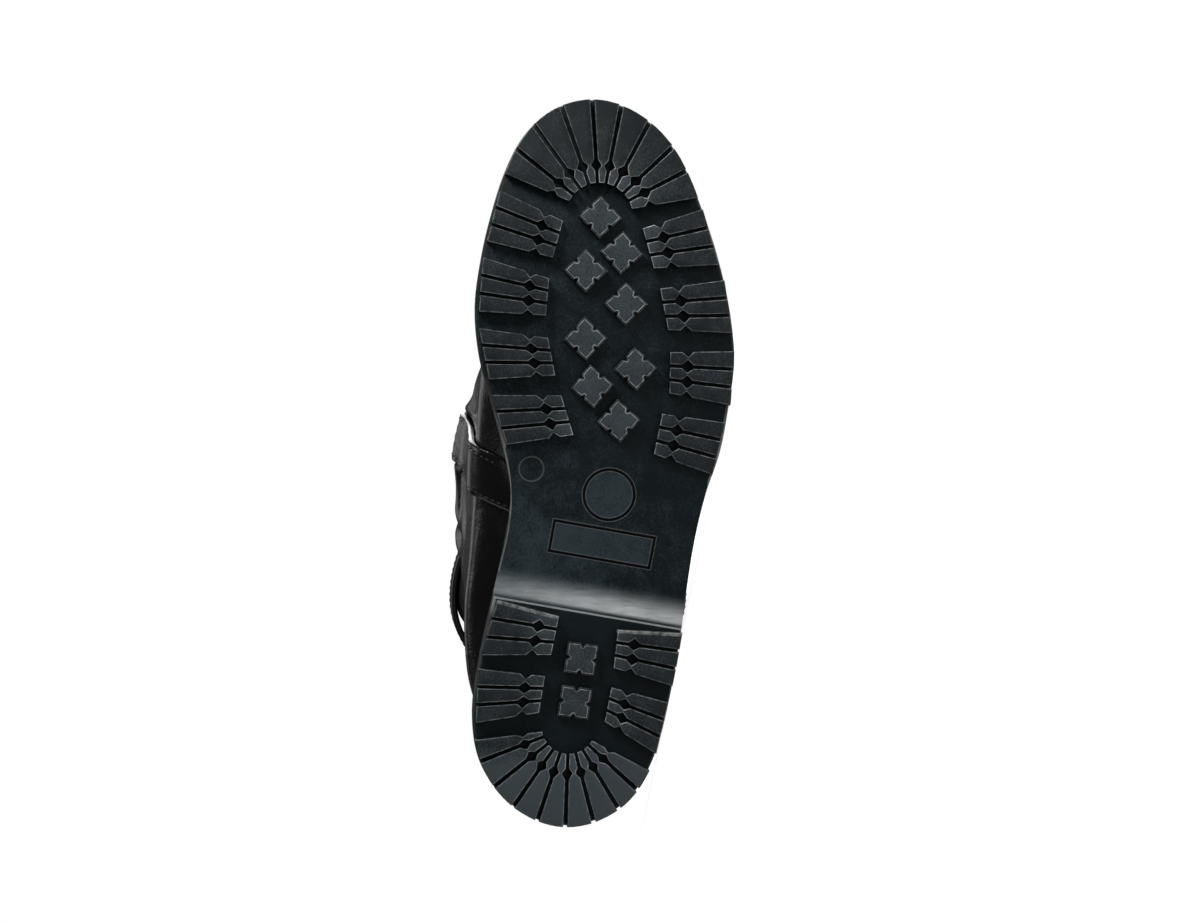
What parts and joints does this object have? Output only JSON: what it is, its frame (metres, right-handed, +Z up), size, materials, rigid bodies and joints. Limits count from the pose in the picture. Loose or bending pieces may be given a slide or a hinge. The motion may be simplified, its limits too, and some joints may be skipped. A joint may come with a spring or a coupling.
{
  "type": "motorcycle boot",
  "caption": "Left-foot motorcycle boot lying on its outer side: lugged rubber sole, black leather upper and shaft, buckled straps over the instep and round the top.",
  "frame": {"origin": "middle of the bounding box at the floor on which the boot lies", "axes": "+X along the sole towards the toe, +Y up the shaft, the sole facing -Y, +Z up from the floor, the outer side down"},
  "size_m": [0.2994, 0.2602, 0.1166],
  "materials": {
    "sole_rubber": "matt moulded rubber, worn paler along the edges of the lugs",
    "rim_rubber": "satin rubber rim",
    "insole_board": "plain leather board",
    "upper_leather": "polished black leather, fine creases",
    "strap_leather": "polished black strap leather",
    "nickel": "satin nickel wire"
  },
  "bodies": {
    "root": {"outsole": "sole_rubber", "midsole": "rim_rubber", "insole": "insole_board", "upper": "upper_leather", "instep_strap": "strap_leather", "instep_keeper": "strap_leather", "instep_buckle": "nickel", "top_strap": "strap_leather", "top_keeper": "strap_leather", "top_buckle": "nickel"}
  },
  "joints": []
}
